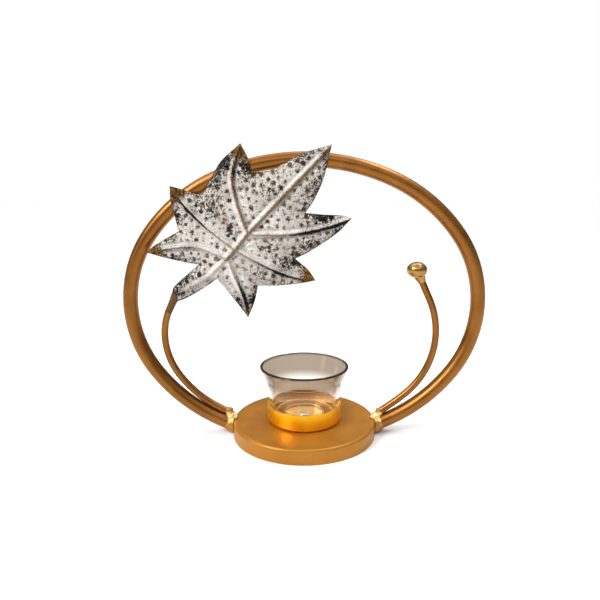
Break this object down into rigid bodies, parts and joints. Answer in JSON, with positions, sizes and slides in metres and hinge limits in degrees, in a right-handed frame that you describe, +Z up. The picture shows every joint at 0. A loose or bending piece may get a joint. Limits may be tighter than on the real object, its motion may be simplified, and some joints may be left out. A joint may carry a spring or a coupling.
{
  "type": "candle ring",
  "caption": "Oval tube hoop on a round base, with a pressed maple leaf on one stem, a ball on the other and a lift-out tealight glass in a tray.",
  "frame": {"origin": "on the resting face, under the middle of the round base", "axes": "+Z up, +X along the hoop's width towards the ball's side, -Y out of the front where the leaf faces"},
  "size_m": [0.2542, 0.103, 0.2039],
  "materials": {
    "gold_paint": "satin metallic gold paint",
    "bright_gold": "brighter satin gold lacquer",
    "gilt_weld": "glossier pale gold over the weld",
    "plated_steel": "zinc plated",
    "smoke_glass": "clear smoke-tinted glass",
    "whitewashed_leaf": "whitewash rubbed over black and antique gold",
    "aged_bronze": "dark bronze patina"
  },
  "bodies": {
    "stand": {"base_shell": "gold_paint", "candle_tray": "bright_gold", "tray_screw": "plated_steel", "tray_washer": "plated_steel", "tray_nut": "plated_steel", "hoop_tube": "gold_paint", "left_weld": "gilt_weld", "right_weld": "gilt_weld", "leaf_stem": "gold_paint", "ball_stem": "gold_paint", "ball_finial": "gold_paint", "leaf_blade": "whitewashed_leaf", "leaf_ferrule": "aged_bronze", "leaf_tack_welds": "aged_bronze"},
    "glass": {"glass_cup": "smoke_glass"}
  },
  "joints": [
    {"name": "glass_lift", "type": "slide", "parent": "stand", "child": "glass", "axis": [0, 0, 1], "range_m": [0, 0.05]}
  ]
}
